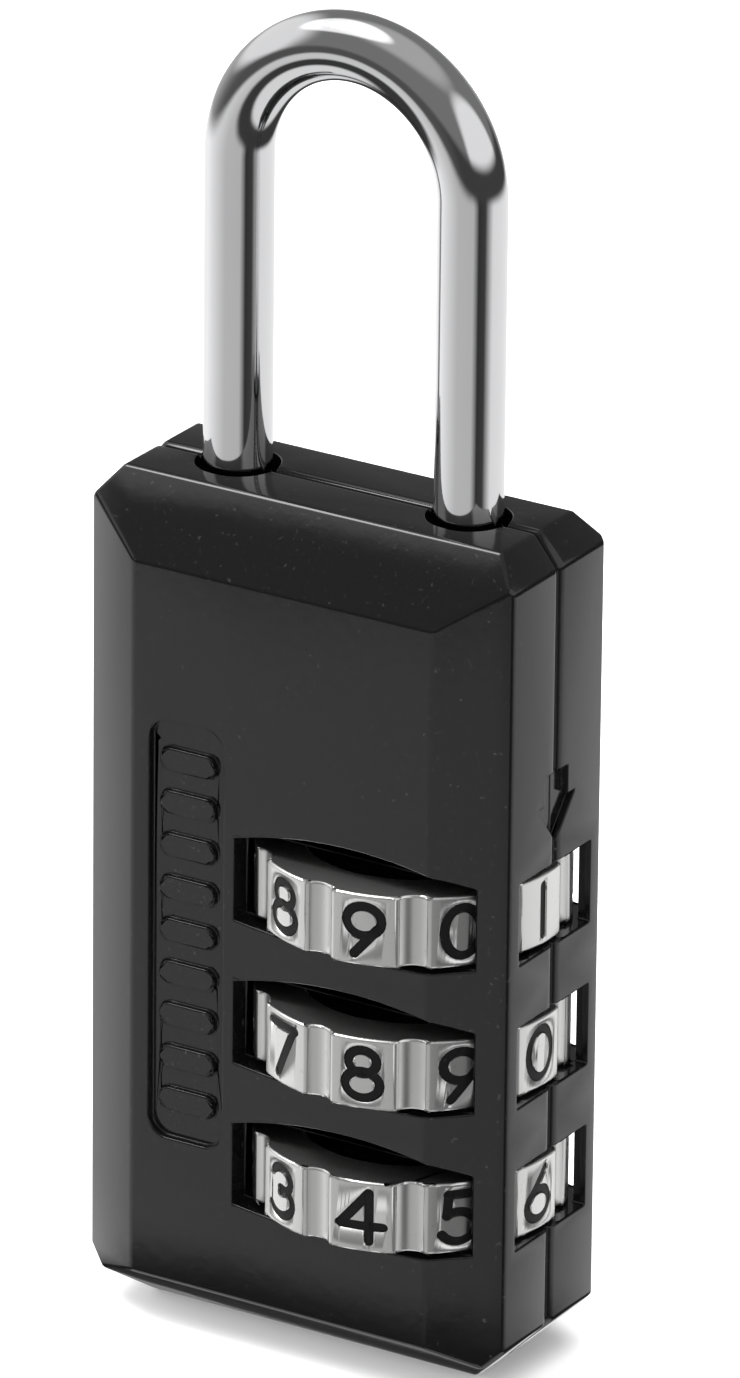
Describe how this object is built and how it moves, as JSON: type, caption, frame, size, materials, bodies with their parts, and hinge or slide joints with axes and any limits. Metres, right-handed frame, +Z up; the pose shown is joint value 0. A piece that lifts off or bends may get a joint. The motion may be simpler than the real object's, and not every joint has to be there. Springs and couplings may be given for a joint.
{
  "type": "combination padlock",
  "caption": "Small padlock with a chamfered black body, a chromed U shackle that lifts and three fluted number dials that turn behind windows.",
  "frame": {"origin": "centre of the flat base, at the bottom of the body", "axes": "+Z up along the body towards the shackle, front face towards -Y, reading windows and arrow on the +X side"},
  "size_m": [0.0206, 0.0134, 0.0586],
  "materials": {
    "shell_paint": "black gloss paint over zinc die casting",
    "shackle_chrome": "polished chrome plate on steel wire",
    "dial_nickel": "satin nickel plate on cast dials",
    "dial_enamel": "black enamel filling in the engraved digits",
    "sleeve_steel": "blackened steel",
    "works_steel": "stamped and turned steel"
  },
  "bodies": {
    "body": {"front_shell": "shell_paint", "rear_shell": "shell_paint", "shell_pins": "works_steel", "click_spring": "works_steel", "click_rivets": "works_steel", "return_spring": "works_steel", "spring_seat": "works_steel", "heel_spring": "works_steel"},
    "shackle": {"shackle": "shackle_chrome", "lifter_plate": "works_steel", "spindle": "works_steel", "spindle_circlip": "works_steel"},
    "upper_dial": {"dial_upper": "dial_nickel"},
    "middle_dial": {"dial_middle": "dial_nickel"},
    "lower_dial": {"dial_lower": "dial_nickel"},
    "upper_sleeve": {"sleeve_upper": "sleeve_steel"},
    "middle_sleeve": {"sleeve_middle": "sleeve_steel"},
    "lower_sleeve": {"sleeve_lower": "sleeve_steel"},
    "washer": {"reset_washer": "works_steel"}
  },
  "joints": [
    {"name": "shackle_lift", "type": "slide", "parent": "body", "child": "shackle", "axis": [0, 0, 1], "range_m": [0, 0.005], "deforming": ["heel_spring"]},
    {"name": "upper_dial_turn", "type": "hinge", "parent": "body", "child": "upper_dial", "pos_m": [0.0034, 0, 0.0214], "axis": [0, 0, 1], "continuous": true},
    {"name": "middle_dial_turn", "type": "hinge", "parent": "body", "child": "middle_dial", "pos_m": [0.0034, 0, 0.0149], "axis": [0, 0, 1], "continuous": true},
    {"name": "lower_dial_turn", "type": "hinge", "parent": "body", "child": "lower_dial", "pos_m": [0.0034, 0, 0.0084], "axis": [0, 0, 1], "continuous": true},
    {"name": "upper_sleeve_drop", "type": "slide", "parent": "upper_dial", "child": "upper_sleeve", "axis": [0, 0, 1], "range_m": [-0.0012, 0], "stiffness_N_per_m": 200, "springref_m": 0.001, "deforming": ["return_spring"]},
    {"name": "middle_sleeve_drop", "type": "slide", "parent": "middle_dial", "child": "middle_sleeve", "axis": [0, 0, 1], "range_m": [-0.0012, 0]},
    {"name": "lower_sleeve_drop", "type": "slide", "parent": "lower_dial", "child": "lower_sleeve", "axis": [0, 0, 1], "range_m": [-0.0012, 0]},
    {"name": "washer_drop", "type": "slide", "parent": "body", "child": "washer", "axis": [0, 0, 1], "range_m": [-0.0012, 0]}
  ],
  "couplings": [
    {"joint": "middle_sleeve_drop", "follows": "upper_sleeve_drop", "ratio": 1},
    {"joint": "lower_sleeve_drop", "follows": "upper_sleeve_drop", "ratio": 1},
    {"joint": "washer_drop", "follows": "upper_sleeve_drop", "ratio": 1}
  ]
}
